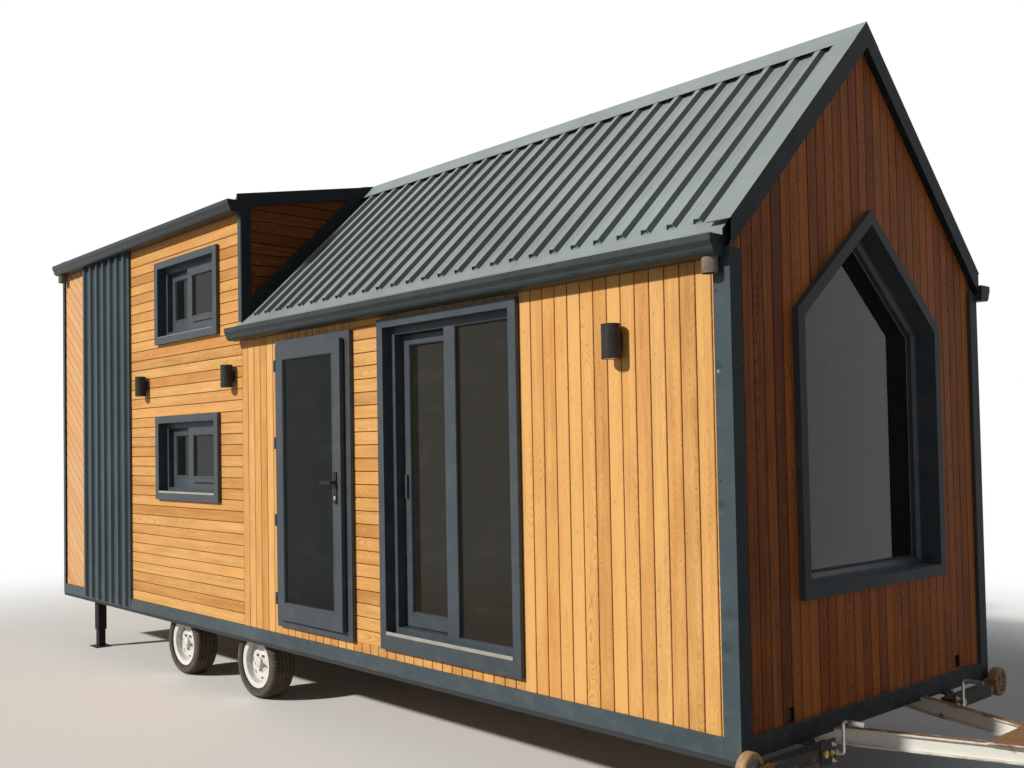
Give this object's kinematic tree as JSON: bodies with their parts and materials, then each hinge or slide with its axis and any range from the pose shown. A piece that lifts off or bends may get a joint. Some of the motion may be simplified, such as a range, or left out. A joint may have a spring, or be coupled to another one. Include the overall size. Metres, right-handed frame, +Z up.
{
  "type": "tiny house on wheels",
  "caption": "Timber-clad house body with a gable front and a rear dormer on a low tandem-axle trailer, with glazed doors, corner jacks and a drawbar.",
  "frame": {"origin": "on the level ground under the middle of the whole outline, drawbar and gutters included", "axes": "+X along the house towards the drawbar and the tall gable window; +Y towards the closed long side, so the doors face -Y; +Z up"},
  "size_m": [8.665, 2.726, 3.9191],
  "materials": {
    "stained_boards": "oiled, satin",
    "inner_timber": "planed, matte",
    "slate_sheet": "satin",
    "dark_frames": "satin",
    "window_panes": "clear",
    "light_housing": "satin",
    "galvanised_steel": "galvanised, dull",
    "axle_steel": "satin",
    "black_steel": "satin",
    "drawbar_paint": "weathered gloss",
    "cast_fitting": "painted, dull",
    "rim_paint": "silver paint, dusty",
    "tyre_rubber": "dusty",
    "door_handles": "satin black",
    "outlet_plastic": "weathered",
    "jack_wheel_rubber": "dusty"
  },
  "bodies": {
    "house": {"chassis_frame": "galvanised_steel", "drawbar": "drawbar_paint", "coupling_head": "cast_fitting", "nose_stand": "galvanised_steel", "axles": "axle_steel", "rear_legs": "black_steel", "jack_brackets": "black_steel", "floor": "inner_timber", "loft_floor": "inner_timber", "right_wall": "inner_timber", "right_wall_over_doors": "inner_timber", "left_wall": "inner_timber", "front_gable_wall": "inner_timber", "rear_gable_wall": "inner_timber", "dormer_cheeks": "inner_timber", "roof_decks": "inner_timber", "side_cladding": "stained_boards", "gable_cladding": "stained_boards", "roof_sheeting": "slate_sheet", "ribbed_panels": "slate_sheet", "ridge_cap": "slate_sheet", "verge_trims": "slate_sheet", "corner_trims": "slate_sheet", "bottom_skirt": "slate_sheet", "gutters": "slate_sheet", "small_window_surrounds": "dark_frames", "small_window_sashes": "dark_frames", "gable_window_surround": "dark_frames", "window_glass": "window_panes", "entrance_frame": "dark_frames", "patio_frame": "dark_frames", "wall_lights": "light_housing", "eave_flashings": "slate_sheet", "gutter_outlets": "outlet_plastic"},
    "right_front_wheel": {"right_front_rim": "rim_paint", "right_front_tyre": "tyre_rubber"},
    "right_rear_wheel": {"right_rear_rim": "rim_paint", "right_rear_tyre": "tyre_rubber"},
    "left_front_wheel": {"left_front_rim": "rim_paint", "left_front_tyre": "tyre_rubber"},
    "left_rear_wheel": {"left_rear_rim": "rim_paint", "left_rear_tyre": "tyre_rubber"},
    "entrance_door": {"entrance_leaf": "dark_frames", "entrance_glass": "window_panes", "entrance_handle_plates": "door_handles"},
    "door_lever": {"entrance_lever": "door_handles"},
    "sliding_sash": {"patio_sash": "dark_frames", "patio_sash_glass": "window_panes"},
    "right_jack": {"right_corner_jack": "galvanised_steel"},
    "right_crank": {"right_jack_crank": "galvanised_steel"},
    "left_jack": {"left_corner_jack": "galvanised_steel"},
    "left_crank": {"left_jack_crank": "galvanised_steel"},
    "right_jack_roller": {"right_jack_wheel": "jack_wheel_rubber"},
    "left_jack_roller": {"left_jack_wheel": "jack_wheel_rubber"}
  },
  "joints": [
    {"name": "right_front_wheel_spin", "type": "hinge", "parent": "house", "child": "right_front_wheel", "pos_m": [-0.9675, -1.1, 0.255], "axis": [0, 1, 0], "continuous": true},
    {"name": "right_rear_wheel_spin", "type": "hinge", "parent": "house", "child": "right_rear_wheel", "pos_m": [-2.0675, -1.1, 0.255], "axis": [0, 1, 0], "continuous": true},
    {"name": "left_front_wheel_spin", "type": "hinge", "parent": "house", "child": "left_front_wheel", "pos_m": [-0.9675, 1.1, 0.255], "axis": [0, 1, 0], "continuous": true},
    {"name": "left_rear_wheel_spin", "type": "hinge", "parent": "house", "child": "left_rear_wheel", "pos_m": [-2.0675, 1.1, 0.255], "axis": [0, 1, 0], "continuous": true},
    {"name": "entrance_door_swing", "type": "hinge", "parent": "house", "child": "entrance_door", "pos_m": [-0.4485, -1.3, 1.5], "axis": [0, 0, -1], "range_deg": [0, 105]},
    {"name": "door_lever_turn", "type": "hinge", "parent": "entrance_door", "child": "door_lever", "pos_m": [0.2445, -1.3, 1.59], "axis": [0, -1, 0], "range_deg": [0, 40], "stiffness_Nm_per_rad": 1, "springref_deg": -17.19},
    {"name": "patio_sash_slide", "type": "slide", "parent": "house", "child": "sliding_sash", "axis": [1, 0, 0], "range_m": [0, 0.415]},
    {"name": "right_jack_swing", "type": "hinge", "parent": "house", "child": "right_jack", "pos_m": [3.0745, -0.72, 0.405], "axis": [1, 0, 0], "range_deg": [0, 38]},
    {"name": "left_jack_swing", "type": "hinge", "parent": "house", "child": "left_jack", "pos_m": [3.0745, 0.72, 0.405], "axis": [-1, 0, 0], "range_deg": [0, 38]},
    {"name": "right_crank_turn", "type": "hinge", "parent": "right_jack", "child": "right_crank", "pos_m": [3.1108, -0.625, 0.396], "axis": [1, 0, 0], "continuous": true},
    {"name": "left_crank_turn", "type": "hinge", "parent": "left_jack", "child": "left_crank", "pos_m": [3.1108, 0.625, 0.396], "axis": [1, 0, 0], "continuous": true},
    {"name": "right_roller_spin", "type": "hinge", "parent": "right_jack", "child": "right_jack_roller", "pos_m": [3.0745, -1.26, 0.43], "axis": [1, 0, 0], "continuous": true},
    {"name": "left_roller_spin", "type": "hinge", "parent": "left_jack", "child": "left_jack_roller", "pos_m": [3.0745, 1.26, 0.43], "axis": [1, 0, 0], "continuous": true}
  ]
}
